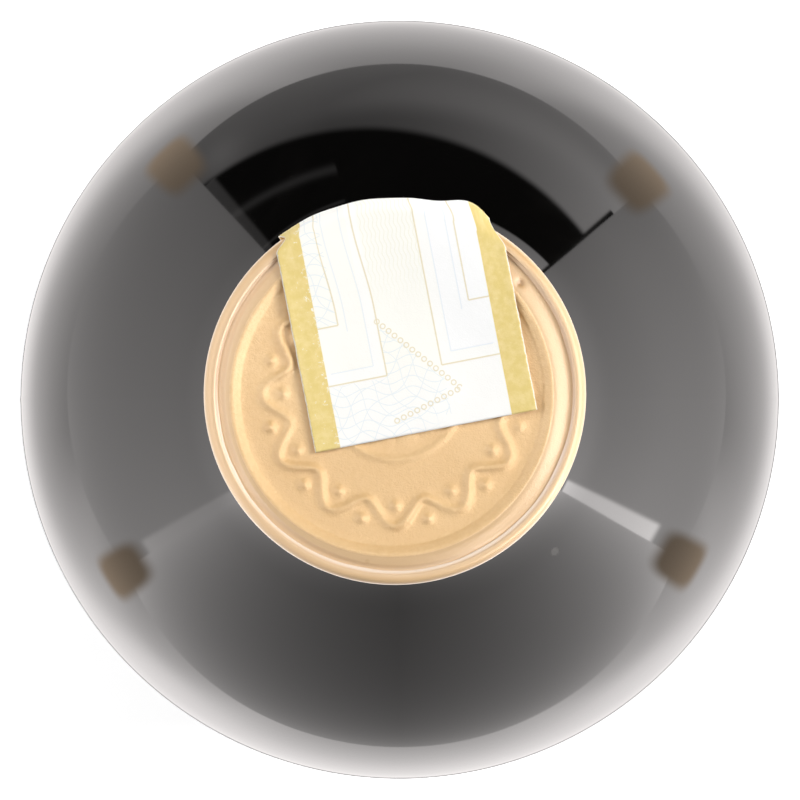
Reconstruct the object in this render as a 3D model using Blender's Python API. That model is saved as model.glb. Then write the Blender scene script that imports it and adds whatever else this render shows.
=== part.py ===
# A shut 750 ml wine bottle that stands upright, of the high-shouldered claret shape: dark glass,
# a shrunk capsule over the mouth and neck, an embossed disc in the capsule's top, a paper seal
# strip stuck over the top and down the back, and a paper label on the front.
# Metres, +Z up. The origin is the centre of the foot, the front is -Y and the back is +Y.

import math

import bmesh
import bpy
import numpy as np

# Glass, from the top down
LIP_Z = 0.2990
LIP_ROUND = 0.0012
RING_RADIUS = 0.0146
RING_HEIGHT = 0.0155
RING_STEP_HEIGHT = 0.0022
NECK_TOP_RADIUS = 0.0139
SHOULDER_BASE_Z = 0.1856
SHOULDER_RADIUS = 0.0375
NECK_FILLET_RADIUS = 0.0113
SHOULDER_SWEEP_DEG = 57.8
BODY_RADIUS = 0.0375
PANEL_DEPTH = 0.0005
PANEL_TOP_Z = 0.1760
PANEL_BASE_Z = 0.0180
PANEL_RAMP = 0.0015
HEEL_ROUND = 0.0070
FOOT_WIDTH = 0.0030
PUNT_DEPTH = 0.0200

# Capsule skirt, with a lip turned in over the mouth
GAP = 0.0003
SKIRT_WALL = 0.00035
SKIRT_LENGTH = 0.0600
CAPSULE_TOP_Z = 0.3000
CAPSULE_LIP_RADIUS = 0.01425
CAPSULE_EDGE_ROUND = 0.00065
CAPSULE_LIP_DROP = 0.0002

# Embossed disc inside the capsule's lip
DISC_THICKNESS = 0.0003
DISC_RIM_RADIUS = 0.01395
DISC_RIM_HEIGHT = 0.00010
LAND_OUTER_RADIUS = 0.0136
LAND_INNER_RADIUS = 0.0124
LAND_HEIGHT = 0.00035
GROOVE_RADIUS = 0.0120
GROOVE_DEPTH = 0.0001
PAD_OUTER_RADIUS = 0.0111
PAD_INNER_RADIUS = 0.0081
PAD_MARGIN = 0.0003
PAD_HEIGHT = 0.00025
PAD_COUNT = 24
MIDDLE_RING_RADIUS = 0.00525
MIDDLE_RING_WIDTH = 0.0006
MIDDLE_RING_HEIGHT = 0.0002
EMBOSS_SLOPE = 0.00015

# Seal strip. It runs along an axis turned this far from +X, a little right of the middle.
STRIP_WIDTH = 0.0180
STRIP_THICKNESS = 0.00025
STRIP_AXIS_DEG = 101.0
STRIP_OFFSET = 0.00188
STRIP_FRONT_END = -0.00342
STRIP_SKIRT_OVERRUN = 0.0080
STRIP_STEP_HEIGHT = 0.0030
STRIP_BEND_ROUND = 0.0010
STRIP_SETTLE_HEIGHT = 0.0080
STRIP_BULGE = 0.0006
STRIP_BULGE_DEG = 32.0
STRIP_BULGE_HALF_WIDTH_DEG = 14.0

# Front label
LABEL_WIDTH = 0.0860
LABEL_BASE_Z = 0.0420
LABEL_TOP_Z = 0.1420
LABEL_THICKNESS = 0.0002
LABEL_CORNER = 0.0025

# Facets
TURN_STEPS = 64
STRIP_COLUMNS = 10
STRIP_TOP_ROWS = 5
STRIP_BEND_ROWS = 4
STRIP_SIDE_ROWS = 14
LABEL_CORNER_COLUMNS = 4
LABEL_MIDDLE_COLUMNS = 20
MERGE_DISTANCE = 1e-6

sweep = math.radians(SHOULDER_SWEEP_DEG)
turn_in = 1.0 - math.cos(sweep)
inflection_radius = BODY_RADIUS - SHOULDER_RADIUS * turn_in
neck_base_radius = inflection_radius - NECK_FILLET_RADIUS * turn_in
neck_base_z = SHOULDER_BASE_Z + (SHOULDER_RADIUS + NECK_FILLET_RADIUS) * math.sin(sweep)
ring_base_z = LIP_Z - RING_HEIGHT
neck_top_z = ring_base_z - RING_STEP_HEIGHT
skirt_base_z = CAPSULE_TOP_Z - SKIRT_LENGTH
panel_radius = BODY_RADIUS - PANEL_DEPTH
foot_outer_radius = BODY_RADIUS - HEEL_ROUND
foot_inner_radius = foot_outer_radius - FOOT_WIDTH
disc_base_z = LIP_Z + GAP
disc_face_z = disc_base_z + DISC_THICKNESS


def clear_scene():
    for thing in list(bpy.data.objects):
        bpy.data.objects.remove(thing, do_unlink=True)


def make_material(name, colour, roughness, metallic):
    material = bpy.data.materials.new(name)
    material.use_nodes = True
    shader = material.node_tree.nodes["Principled BSDF"]
    shader.inputs["Base Color"].default_value = (*colour, 1.0)
    shader.inputs["Roughness"].default_value = roughness
    shader.inputs["Metallic"].default_value = metallic
    return material


def add_object(name, mesh, material, sharp_deg=30.0):
    mesh.materials.append(material)
    mesh.shade_smooth()
    mesh.set_sharp_from_angle(angle=math.radians(sharp_deg))
    thing = bpy.data.objects.new(name, mesh)
    bpy.context.scene.collection.objects.link(thing)
    return thing


def arc(centre_r, centre_z, radius, start_deg, end_deg, steps):
    # Points (r, z) of a round stretch of a section. Angles run from +r towards +z.
    angles = np.radians(np.linspace(start_deg, end_deg, steps + 1))
    return [(centre_r + radius * math.cos(a), centre_z + radius * math.sin(a)) for a in angles]


def turned(name, profile, material, closed=False):
    # A profile of (r, z) points at +X, turned once about the Z axis.
    points = [(r, 0.0, z) for r, z in profile]
    edges = [(i, i + 1) for i in range(len(points) - 1)]
    if closed:
        edges.append((len(points) - 1, 0))
    mesh = bpy.data.meshes.new(name)
    mesh.from_pydata(points, edges, [])
    mesh.materials.append(material)
    thing = bpy.data.objects.new(name, mesh)
    bpy.context.scene.collection.objects.link(thing)
    screw = thing.modifiers.new("Turn", "SCREW")
    screw.axis = "Z"
    screw.angle = math.tau
    screw.steps = TURN_STEPS
    screw.render_steps = TURN_STEPS
    screw.use_smooth_shade = True
    screw.use_merge_vertices = True
    screw.merge_threshold = MERGE_DISTANCE
    return thing


def glass_neck_radius(z):
    # Outer radius of the glass between the shoulder and the mouth.
    heights = [neck_base_z, neck_top_z, ring_base_z]
    radii = [neck_base_radius, NECK_TOP_RADIUS, RING_RADIUS]
    return float(np.interp(z, heights, radii))


def skirt_radius(z):
    # Outer radius of the capsule's skirt.
    return glass_neck_radius(z) + GAP + SKIRT_WALL


def make_bottle():
    # The section from the middle of the mouth, down the outside and under the foot, to the top
    # of the punt. Two arcs that turn the same way and back make the shoulder.
    profile = [(0.0, LIP_Z)]
    profile += arc(RING_RADIUS - LIP_ROUND, LIP_Z - LIP_ROUND, LIP_ROUND, 90, 0, 3)
    profile += [(RING_RADIUS, ring_base_z), (NECK_TOP_RADIUS, neck_top_z)]
    profile += arc(
        neck_base_radius + NECK_FILLET_RADIUS, neck_base_z, NECK_FILLET_RADIUS,
        180, 180 + SHOULDER_SWEEP_DEG, 7,
    )
    profile += arc(
        BODY_RADIUS - SHOULDER_RADIUS, SHOULDER_BASE_Z, SHOULDER_RADIUS,
        SHOULDER_SWEEP_DEG, 0, 9,
    )[1:]
    profile += [
        (BODY_RADIUS, PANEL_TOP_Z),
        (panel_radius, PANEL_TOP_Z - PANEL_RAMP),
        (panel_radius, PANEL_BASE_Z + PANEL_RAMP),
        (BODY_RADIUS, PANEL_BASE_Z),
    ]
    profile += arc(foot_outer_radius, HEEL_ROUND, HEEL_ROUND, 0, -90, 5)
    punt_radius = (foot_inner_radius**2 + PUNT_DEPTH**2) / (2 * PUNT_DEPTH)
    punt_centre_z = PUNT_DEPTH - punt_radius
    punt_start_deg = math.degrees(math.atan2(-punt_centre_z, foot_inner_radius))
    profile += arc(0.0, punt_centre_z, punt_radius, punt_start_deg, 90, 8)[:-1]
    profile += [(0.0, PUNT_DEPTH)]
    glass = make_material("dark_glass", (0.012, 0.011, 0.009), 0.04, 0.0)
    return turned("bottle", profile, glass)


def make_capsule():
    # A thin sleeve that follows the neck at a constant gap, with its top turned in as a flat lip.
    stations = [
        LIP_Z - LIP_ROUND,
        ring_base_z,
        neck_top_z,
        skirt_base_z,
    ]
    outer_radius = skirt_radius(ring_base_z)
    edge_centre_r = outer_radius - CAPSULE_EDGE_ROUND
    edge_centre_z = CAPSULE_TOP_Z - CAPSULE_EDGE_ROUND
    profile = [(CAPSULE_LIP_RADIUS, CAPSULE_TOP_Z - CAPSULE_LIP_DROP)]
    profile += arc(edge_centre_r, edge_centre_z, CAPSULE_EDGE_ROUND, 90, 0, 3)
    profile += [(skirt_radius(z), z) for z in stations[1:]]
    profile += [(glass_neck_radius(z) + GAP, z) for z in reversed(stations)]
    profile += [(RING_RADIUS, LIP_Z + GAP), (CAPSULE_LIP_RADIUS, LIP_Z + GAP)]
    foil = make_material("capsule_foil", (0.80, 0.56, 0.31), 0.35, 0.6)
    return turned("capsule", profile, foil, closed=True)


def make_capsule_disc():
    # A turned plate with a raised land near its rim and a raised ring in the middle. Every second
    # face of a band between them is inset and lifted, as a ring of embossed pads.
    ring_half = MIDDLE_RING_WIDTH / 2
    ring_z = disc_face_z + MIDDLE_RING_HEIGHT
    land_z = disc_face_z + LAND_HEIGHT
    rim_z = disc_face_z + DISC_RIM_HEIGHT
    profile = [
        (0.0, disc_face_z),
        (MIDDLE_RING_RADIUS - ring_half - EMBOSS_SLOPE, disc_face_z),
        (MIDDLE_RING_RADIUS - ring_half, ring_z),
        (MIDDLE_RING_RADIUS + ring_half, ring_z),
        (MIDDLE_RING_RADIUS + ring_half + EMBOSS_SLOPE, disc_face_z),
        (PAD_INNER_RADIUS, disc_face_z),
        (PAD_OUTER_RADIUS, disc_face_z),
        (GROOVE_RADIUS, disc_face_z - GROOVE_DEPTH),
        (LAND_INNER_RADIUS, land_z),
        (LAND_OUTER_RADIUS, land_z),
        (LAND_OUTER_RADIUS + EMBOSS_SLOPE, rim_z),
        (DISC_RIM_RADIUS, rim_z),
        (DISC_RIM_RADIUS, disc_base_z),
        (0.0, disc_base_z),
    ]
    bm = bmesh.new()
    verts = [bm.verts.new((r, 0.0, z)) for r, z in profile]
    edges = [bm.edges.new(pair) for pair in zip(verts, verts[1:])]
    bmesh.ops.spin(
        bm, geom=verts + edges, cent=(0, 0, 0), axis=(0, 0, 1),
        angle=math.tau, steps=2 * PAD_COUNT, use_merge=True,
    )
    bmesh.ops.remove_doubles(bm, verts=bm.verts, dist=MERGE_DISTANCE)
    bmesh.ops.recalc_face_normals(bm, faces=bm.faces)
    middle_of_band = (PAD_INNER_RADIUS + PAD_OUTER_RADIUS) / 2
    half_band = (PAD_OUTER_RADIUS - PAD_INNER_RADIUS) / 4
    pad_faces = []
    for face in bm.faces:
        centre = face.calc_center_median()
        if face.normal.z < 0.5 or abs(math.hypot(centre.x, centre.y) - middle_of_band) > half_band:
            continue
        place = math.atan2(centre.y, centre.x) / math.tau * 2 * PAD_COUNT
        if math.floor(place) % 2 == 0:
            pad_faces.append(face)
    bmesh.ops.inset_individual(bm, faces=pad_faces, thickness=PAD_MARGIN)
    for face in pad_faces:
        bmesh.ops.translate(bm, verts=face.verts, vec=(0, 0, PAD_HEIGHT))
    mesh = bpy.data.meshes.new("capsule_disc")
    bm.to_mesh(mesh)
    bm.free()
    disc_foil = make_material("disc_foil", (0.76, 0.53, 0.30), 0.40, 0.6)
    return add_object("capsule_disc", mesh, disc_foil)


def strip_surface_radius(z):
    # The strip's inner face clears the skirt, and steps in to the bare glass under the skirt.
    stepped_in = min(max((skirt_base_z - z) / STRIP_STEP_HEIGHT, 0.0), 1.0)
    return glass_neck_radius(z) + GAP + (1.0 - stepped_in) * (SKIRT_WALL + GAP)


def strip_point(across, row):
    # A point of the strip's inner face: flat over the top, round the capsule's edge, down the
    # back. Across is measured from the strip's middle line.
    flat_z = CAPSULE_TOP_Z + GAP
    side_radius = strip_surface_radius(ring_base_z)
    bend_start_radius = side_radius - STRIP_BEND_ROUND
    u = STRIP_OFFSET + across
    angle_on_top = math.asin(u / bend_start_radius)
    angle_on_side = math.asin(STRIP_OFFSET / side_radius) + across / side_radius
    if row <= STRIP_TOP_ROWS:
        v_bend = bend_start_radius * math.cos(angle_on_top)
        v = STRIP_FRONT_END + (v_bend - STRIP_FRONT_END) * row / STRIP_TOP_ROWS
        return u, v, flat_z
    if row <= STRIP_TOP_ROWS + STRIP_BEND_ROWS:
        turn = math.radians(90) * (row - STRIP_TOP_ROWS) / STRIP_BEND_ROWS
        radius = bend_start_radius + STRIP_BEND_ROUND * math.sin(turn)
        z = flat_z - STRIP_BEND_ROUND * (1 - math.cos(turn))
    else:
        share = (row - STRIP_TOP_ROWS - STRIP_BEND_ROWS) / STRIP_SIDE_ROWS
        z_start = flat_z - STRIP_BEND_ROUND
        z_end = skirt_base_z - STRIP_SKIRT_OVERRUN
        z = z_start + (z_end - z_start) * share
        radius = strip_surface_radius(z)
    settled = min((flat_z - z) / STRIP_SETTLE_HEIGHT, 1.0)
    settled = settled * settled * (3 - 2 * settled)
    angle = angle_on_top + (angle_on_side - angle_on_top) * settled
    off_bulge = (math.degrees(angle) - STRIP_BULGE_DEG) / STRIP_BULGE_HALF_WIDTH_DEG
    bulge = math.exp(-off_bulge * off_bulge) * math.sin(math.pi * settled)
    radius += STRIP_BULGE * bulge
    return radius * math.sin(angle), radius * math.cos(angle), z


def make_seal_strip():
    # A grid of points over the top and down the back, turned to the strip's axis and thickened.
    rows = STRIP_TOP_ROWS + STRIP_BEND_ROWS + STRIP_SIDE_ROWS + 1
    turn = math.radians(STRIP_AXIS_DEG)
    along = (math.cos(turn), math.sin(turn))
    right = (math.sin(turn), -math.cos(turn))
    points = []
    for row in range(rows):
        for across in np.linspace(-STRIP_WIDTH / 2, STRIP_WIDTH / 2, STRIP_COLUMNS + 1):
            u, v, z = strip_point(float(across), row)
            points.append((u * right[0] + v * along[0], u * right[1] + v * along[1], z))
    faces = []
    width = STRIP_COLUMNS + 1
    for row in range(rows - 1):
        for column in range(STRIP_COLUMNS):
            corner = row * width + column
            faces.append((corner, corner + 1, corner + width + 1, corner + width))
    mesh = bpy.data.meshes.new("seal_strip")
    mesh.from_pydata(points, [], faces)
    paper = make_material("seal_paper", (0.92, 0.91, 0.86), 0.70, 0.0)
    strip = add_object("seal_strip", mesh, paper)
    solidify = strip.modifiers.new("Paper", "SOLIDIFY")
    solidify.thickness = STRIP_THICKNESS
    solidify.offset = 1.0
    return strip


def label_corner_cut(x):
    # How much the rounded corner takes off the label's height at this distance from its middle.
    inside = abs(x) - (LABEL_WIDTH / 2 - LABEL_CORNER)
    if inside <= 0:
        return 0.0
    return LABEL_CORNER - math.sqrt(max(LABEL_CORNER**2 - inside**2, 0.0))


def make_label():
    # One row of faces bent round the front of the body, its corners rounded, then thickened.
    inner_radius = panel_radius + GAP
    half = LABEL_WIDTH / 2
    corner = LABEL_CORNER * np.sin(np.radians(np.linspace(0, 90, LABEL_CORNER_COLUMNS + 1)))
    right_edge = half - LABEL_CORNER + corner
    middle = np.linspace(-(half - LABEL_CORNER), half - LABEL_CORNER, LABEL_MIDDLE_COLUMNS + 1)
    columns = [*(-right_edge[:0:-1]), *middle, *right_edge[1:]]
    points = []
    for x in columns:
        angle = float(x) / inner_radius
        side = (inner_radius * math.sin(angle), -inner_radius * math.cos(angle))
        cut = label_corner_cut(float(x))
        points.append((*side, LABEL_BASE_Z + cut))
        points.append((*side, LABEL_TOP_Z - cut))
    faces = [(2 * i, 2 * i + 2, 2 * i + 3, 2 * i + 1) for i in range(len(columns) - 1)]
    mesh = bpy.data.meshes.new("front_label")
    mesh.from_pydata(points, [], faces)
    paper = make_material("label_paper", (0.88, 0.85, 0.77), 0.75, 0.0)
    label = add_object("front_label", mesh, paper)
    solidify = label.modifiers.new("Paper", "SOLIDIFY")
    solidify.thickness = LABEL_THICKNESS
    solidify.offset = 1.0
    return label


clear_scene()
make_bottle()
make_capsule()
make_capsule_disc()
make_seal_strip()
make_label()
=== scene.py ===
import math

import bmesh
import bpy
import numpy as np
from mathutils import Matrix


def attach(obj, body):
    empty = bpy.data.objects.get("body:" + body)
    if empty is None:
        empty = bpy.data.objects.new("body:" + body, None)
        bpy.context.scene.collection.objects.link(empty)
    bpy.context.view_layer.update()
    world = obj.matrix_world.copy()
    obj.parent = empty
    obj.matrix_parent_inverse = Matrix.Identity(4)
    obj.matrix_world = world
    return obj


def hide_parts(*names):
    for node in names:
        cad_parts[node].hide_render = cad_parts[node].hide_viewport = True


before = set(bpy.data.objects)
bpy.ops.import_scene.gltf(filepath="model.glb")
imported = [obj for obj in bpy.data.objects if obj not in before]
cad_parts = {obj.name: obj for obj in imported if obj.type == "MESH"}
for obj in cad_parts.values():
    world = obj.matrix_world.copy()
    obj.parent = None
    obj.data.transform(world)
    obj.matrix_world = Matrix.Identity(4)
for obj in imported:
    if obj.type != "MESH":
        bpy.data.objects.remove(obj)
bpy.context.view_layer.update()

# A wine bottle that stands upright, seen from straight above: dark glass, a shrunk capsule, the
# embossed disc in its top, a paper seal strip over the top and down the back, and a paper label.
# Lengths are in metres. Print and wear are laid out in millimetres.

mm = 0.001
print("frame loaded")


# Helpers for shapes.

def smoothStep(x, low, high):
    # Level outside low and high, and t * t * (3 - 2 t) of the share t between them.
    t = np.clip((x - low) / (high - low), 0.0, 1.0)
    return t * t * (3.0 - 2.0 * t)


def hill(x, centre, width):
    # A bell, exp(-((x - centre) / width) squared).
    return np.exp(-(((x - centre) / width) ** 2))


def arcPoints(centre, radius, startDeg, endDeg, count):
    # Points (r, z) on a circle: centre + radius * (cos a, sin a), a from start to end.
    a = np.radians(np.linspace(startDeg, endDeg, count))
    return np.stack([centre[0] + radius * np.cos(a), centre[1] + radius * np.sin(a)], axis=1)


def linePoints(start, end, count):
    # Points (r, z) evenly spaced from start to end, the end left out.
    t = np.linspace(0.0, 1.0, count, endpoint=False)[:, None]
    return np.asarray(start)[None] * (1 - t) + np.asarray(end)[None] * t


def roundedPath(corners, radii, stepsPerCorner):
    # A path of corners (r, z) with each inner corner replaced by a quadratic curve that starts
    # and ends its given length away: (1-t)^2 a + 2 t (1-t) corner + t^2 b.
    corners = np.asarray(corners, float)
    path = [corners[:1]]
    t = np.linspace(0.0, 1.0, stepsPerCorner)[:, None]
    for before, corner, after, reach in zip(corners, corners[1:], corners[2:], radii):
        a = corner + (before - corner) / np.linalg.norm(before - corner) * reach
        b = corner + (after - corner) / np.linalg.norm(after - corner) * reach
        path.append((1 - t) ** 2 * a + 2 * t * (1 - t) * corner + t**2 * b)
    path.append(corners[-1:])
    return np.concatenate(path)


def noiseWave(x, y, seed, count, lowest, highest):
    # A sum of sine waves of fixed random direction, pitch and phase, scaled to about -1 .. 1.
    rng = np.random.default_rng(seed)
    total = np.zeros(np.broadcast(x, y).shape)
    for turn, pitch, phase in zip(
        rng.uniform(0, math.tau, count), rng.uniform(lowest, highest, count), rng.uniform(0, math.tau, count)
    ):
        total += np.sin(pitch * (x * math.cos(turn) + y * math.sin(turn)) + phase)
    return total / math.sqrt(count)


def gridPiece(name, points, around=False, values=None, vectors=None, sharpDeg=50.0, merge=True):
    # A mesh over a grid of points (rows, columns, 3). Around joins the last column to the first.
    # Values and vectors are named arrays of one entry for each point.
    rows, columns = points.shape[:2]
    place = np.arange(rows * columns).reshape(rows, columns)
    right = np.roll(place, -1, axis=1) if around else place[:, 1:]
    left = place if around else place[:, :-1]
    quads = np.stack([left[:-1], right[:-1], right[1:], left[1:]], axis=-1).reshape(-1, 4)
    mesh = bpy.data.meshes.new(name)
    mesh.from_pydata(points.reshape(-1, 3).tolist(), [], quads.tolist())
    for label, array in (values or {}).items():
        mesh.attributes.new(label, "FLOAT", "POINT").data.foreach_set("value", array.astype(np.float32).ravel())
    for label, array in (vectors or {}).items():
        mesh.attributes.new(label, "FLOAT_VECTOR", "POINT").data.foreach_set(
            "vector", array.astype(np.float32).ravel()
        )
    if merge:
        work = bmesh.new()
        work.from_mesh(mesh)
        bmesh.ops.remove_doubles(work, verts=work.verts, dist=1e-7)
        bmesh.ops.recalc_face_normals(work, faces=work.faces)
        work.to_mesh(mesh)
        work.free()
    mesh.shade_smooth()
    mesh.set_sharp_from_angle(angle=math.radians(sharpDeg))
    thing = bpy.data.objects.new(name, mesh)
    bpy.context.scene.collection.objects.link(thing)
    return thing


def turnedAbout(radius, t, z):
    # A section turned about Z: (r cos t, r sin t, z).
    return np.stack([radius * np.cos(t), radius * np.sin(t), z + 0 * t], axis=-1)


def thicken(piece, thickness):
    # Gives a sheet its thickness outwards.
    wall = piece.modifiers.new("paperThickness", "SOLIDIFY")
    wall.thickness = thickness
    wall.offset = 1.0


def dress(thing, material, slotName, *nodes):
    # Gives the piece its finish and its place in the frame.
    thing.data.materials.append(material)
    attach(thing, "root")
    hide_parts(*nodes)
    print(thing.name, "built:", len(thing.data.polygons), "faces")


# Helpers for materials.

def addNode(tree, kind, inputs=None, **settings):
    # A node whose inputs take numbers or the sockets of other nodes.
    node = tree.nodes.new(kind)
    for key, value in settings.items():
        setattr(node, key, value)
    for key, value in (inputs or {}).items():
        if isinstance(value, bpy.types.NodeSocket):
            tree.links.new(value, node.inputs[key])
        else:
            node.inputs[key].default_value = value
    return node


def calc(tree, operation, *terms):
    # One Math node over numbers or sockets.
    return addNode(tree, "ShaderNodeMath", dict(enumerate(terms)), operation=operation).outputs[0]


def times(tree, *factors):
    # The product of all factors.
    result = factors[0]
    for factor in factors[1:]:
        result = calc(tree, "MULTIPLY", result, factor)
    return result


def largest(tree, *terms):
    # The largest of all terms.
    result = terms[0]
    for term in terms[1:]:
        result = calc(tree, "MAXIMUM", result, term)
    return result


def plus(tree, first, second):
    return calc(tree, "ADD", first, second)


def minus(tree, first, second):
    return calc(tree, "SUBTRACT", first, second)


def vectorCalc(tree, operation, *terms):
    # The outputs of one Vector Math node.
    return addNode(tree, "ShaderNodeVectorMath", dict(enumerate(terms)), operation=operation).outputs


def parts(tree, place):
    # The outputs X, Y and Z of a place.
    return addNode(tree, "ShaderNodeSeparateXYZ", {"Vector": place}).outputs


def stored(tree, name, output="Vector"):
    # Values that the mesh carries.
    return addNode(tree, "ShaderNodeAttribute", attribute_name=name).outputs[output]


def noise(tree, place, scale, detail, **more):
    # The shade of a noise texture.
    inputs = {"Vector": place, "Scale": scale, "Detail": detail, **more}
    return addNode(tree, "ShaderNodeTexNoise", inputs).outputs["Fac"]


def fromAxis(tree, place, centre=(0.0, 0.0)):
    # The distance from an upright line: the root of (x - centre x)^2 + (y - centre y)^2.
    split = parts(tree, place)
    across, along = (calc(tree, "POWER", minus(tree, split[axis], middle), 2.0) for axis, middle in zip("XY", centre))
    return calc(tree, "SQRT", plus(tree, across, along))


def softStep(tree, value, low, high):
    # 0 below low, 1 above high, smooth between.
    return addNode(
        tree, "ShaderNodeMapRange", {"Value": value, "From Min": low, "From Max": high},
        interpolation_type="SMOOTHSTEP",
    ).outputs["Result"]


def mixColour(tree, share, first, second):
    # (1 - share) of the first colour and share of the second.
    node = addNode(tree, "ShaderNodeMix", {0: share}, data_type="RGBA")
    for index, colour in ((6, first), (7, second)):
        if isinstance(colour, bpy.types.NodeSocket):
            tree.links.new(colour, node.inputs[index])
        else:
            node.inputs[index].default_value = (*colour, 1.0)
    return node.outputs[2]


def startMaterial(name, **settings):
    # A material with its Principled shader. Settings name the shader's own sockets.
    material = bpy.data.materials.new(name)
    material.use_nodes = True
    tree = material.node_tree
    shader = tree.nodes["Principled BSDF"]
    for key, value in settings.items():
        shader.inputs[key].default_value = value
    return material, tree, shader


def addBump(tree, shader, height):
    # Feeds a height in metres to the shader's normal.
    bump = addNode(tree, "ShaderNodeBump", {"Height": height, "Strength": 1.0, "Distance": 1.0})
    tree.links.new(bump.outputs["Normal"], shader.inputs["Normal"])


def startGroup(name, inputs, outputs):
    # An empty node group. Inputs and outputs are (name, kind, start value) and (name, kind).
    group = bpy.data.node_groups.new(name, "ShaderNodeTree")
    for label, kind, start in inputs:
        socket = group.interface.new_socket(label, in_out="INPUT", socket_type="NodeSocket" + kind)
        if start is not None:
            socket.default_value = start
    for label, kind in outputs:
        group.interface.new_socket(label, in_out="OUTPUT", socket_type="NodeSocket" + kind)
    return group, group.nodes.new("NodeGroupInput"), group.nodes.new("NodeGroupOutput")


def useGroup(tree, group, inputs):
    # A node that places the group with its own values.
    node = tree.nodes.new("ShaderNodeGroup")
    node.node_tree = group
    for key, value in inputs.items():
        if isinstance(value, bpy.types.NodeSocket):
            tree.links.new(value, node.inputs[key])
        else:
            node.inputs[key].default_value = value
    return node


def makeGrainGroup():
    # Height of a pressed or fibrous surface: fine noise + share * coarse noise. Tone is the coarse
    # noise alone.
    group, start, end = startGroup(
        "surfaceGrain",
        [("Vector", "Vector", None), ("Fine Scale", "Float", 3000.0), ("Coarse Scale", "Float", 600.0),
         ("Coarse Share", "Float", 0.5)],
        [("Height", "Float"), ("Tone", "Float")],
    )
    vector, fineScale, coarseScale, share = start.outputs[:4]
    fine = noise(group, vector, fineScale, 3.0, Roughness=0.6)
    coarse = noise(group, vector, coarseScale, 4.0, Roughness=0.55, Distortion=0.4)
    group.links.new(plus(group, fine, times(group, coarse, share)), end.inputs["Height"])
    group.links.new(coarse, end.inputs["Tone"])
    return group


def makeSpeckGroup():
    # Small scattered spots: the cells of a Voronoi pattern whose random shade is over a limit,
    # each a disc of uneven size.
    group, start, end = startGroup(
        "scatteredSpecks",
        [("Vector", "Vector", None), ("Scale", "Float", 400.0), ("Share", "Float", 0.1), ("Size", "Float", 0.2)],
        [("Mask", "Float")],
    )
    cells = addNode(group, "ShaderNodeTexVoronoi", {
        "Vector": start.outputs["Vector"], "Scale": start.outputs["Scale"]})
    shade = addNode(group, "ShaderNodeSeparateColor", {"Color": cells.outputs["Color"]})
    chosen = calc(group, "LESS_THAN", shade.outputs[0], start.outputs["Share"])
    size = times(group, start.outputs["Size"], plus(group, shade.outputs[1], 0.3))
    inside = minus(group, 1.0, calc(group, "DIVIDE", cells.outputs["Distance"], size))
    soft = times(group, largest(group, inside, 0.0), 3.0)
    group.links.new(times(group, calc(group, "MINIMUM", soft, 1.0), chosen), end.inputs["Mask"])
    return group


def makeRuleGroup():
    # A printed rule: 1 within half its width of a place on one axis, where the other axis lies
    # between two ends.
    group, start, end = startGroup(
        "printedRule",
        [("Across", "Float", 0.0), ("Along", "Float", 0.0), ("Place", "Float", 0.0), ("Width", "Float", 0.1),
         ("From", "Float", 0.0), ("To", "Float", 1.0)],
        [("Mask", "Float")],
    )
    across, along, place, width, low, high = start.outputs[:6]
    off = calc(group, "ABSOLUTE", minus(group, across, place))
    ink = addNode(group, "ShaderNodeMapRange", {
        "Value": minus(group, off, times(group, width, 0.5)), "From Min": 0.04, "From Max": -0.02}).outputs["Result"]
    after = calc(group, "GREATER_THAN", along, low)
    before = calc(group, "LESS_THAN", along, high)
    group.links.new(times(group, ink, times(group, after, before)), end.inputs["Mask"])
    return group


def makeRingRowGroup():
    # A row of small printed rings from one point to another. A place is split into its distance
    # along the row, folded to one pitch, and its distance from the row, and the ring is inked
    # where the length of the two is close to the ring's radius.
    group, start, end = startGroup(
        "ringRow",
        [("Place", "Vector", None), ("Start", "Vector", None), ("Finish", "Vector", None),
         ("Pitch", "Float", 0.6), ("Radius", "Float", 0.2), ("Stroke", "Float", 0.1)],
        [("Mask", "Float")],
    )
    place, first, last, pitch, radius, stroke = start.outputs[:6]
    run = vectorCalc(group, "SUBTRACT", last, first)["Vector"]
    way = vectorCalc(group, "NORMALIZE", run)["Vector"]
    length = vectorCalc(group, "LENGTH", run)["Value"]
    offset = vectorCalc(group, "SUBTRACT", place, first)["Vector"]
    along = vectorCalc(group, "DOT_PRODUCT", offset, way)["Value"]
    aside = vectorCalc(group, "LENGTH", vectorCalc(group, "CROSS_PRODUCT", offset, way)["Vector"])["Value"]
    folded = minus(group, calc(group, "FLOORED_MODULO", along, pitch), times(group, pitch, 0.5))
    reach = calc(group, "SQRT", plus(group, calc(group, "POWER", folded, 2.0), calc(group, "POWER", aside, 2.0)))
    off = calc(group, "ABSOLUTE", minus(group, reach, radius))
    ink = addNode(group, "ShaderNodeMapRange", {
        "Value": minus(group, off, times(group, stroke, 0.5)), "From Min": 0.04, "From Max": -0.03}).outputs["Result"]
    inRow = times(group, calc(group, "GREATER_THAN", along, 0.0), calc(group, "LESS_THAN", along, length))
    group.links.new(times(group, ink, inRow), end.inputs["Mask"])
    return group


surfaceGrain = makeGrainGroup()
scatteredSpecks = makeSpeckGroup()
printedRule = makeRuleGroup()
ringRow = makeRingRowGroup()
print("node groups built")


# One placed use of each group, with its values in order.

def grainOn(tree, place, fineScale, coarseScale, share):
    return useGroup(tree, surfaceGrain, {
        "Vector": place, "Fine Scale": fineScale, "Coarse Scale": coarseScale, "Coarse Share": share}).outputs


def specks(tree, place, scale, share, size):
    return useGroup(tree, scatteredSpecks, {
        "Vector": place, "Scale": scale, "Share": share, "Size": size}).outputs["Mask"]


def rule(tree, first, second, at, width, start, finish):
    return useGroup(tree, printedRule, {
        "Across": first, "Along": second, "Place": at, "Width": width, "From": start, "To": finish}).outputs["Mask"]


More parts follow.
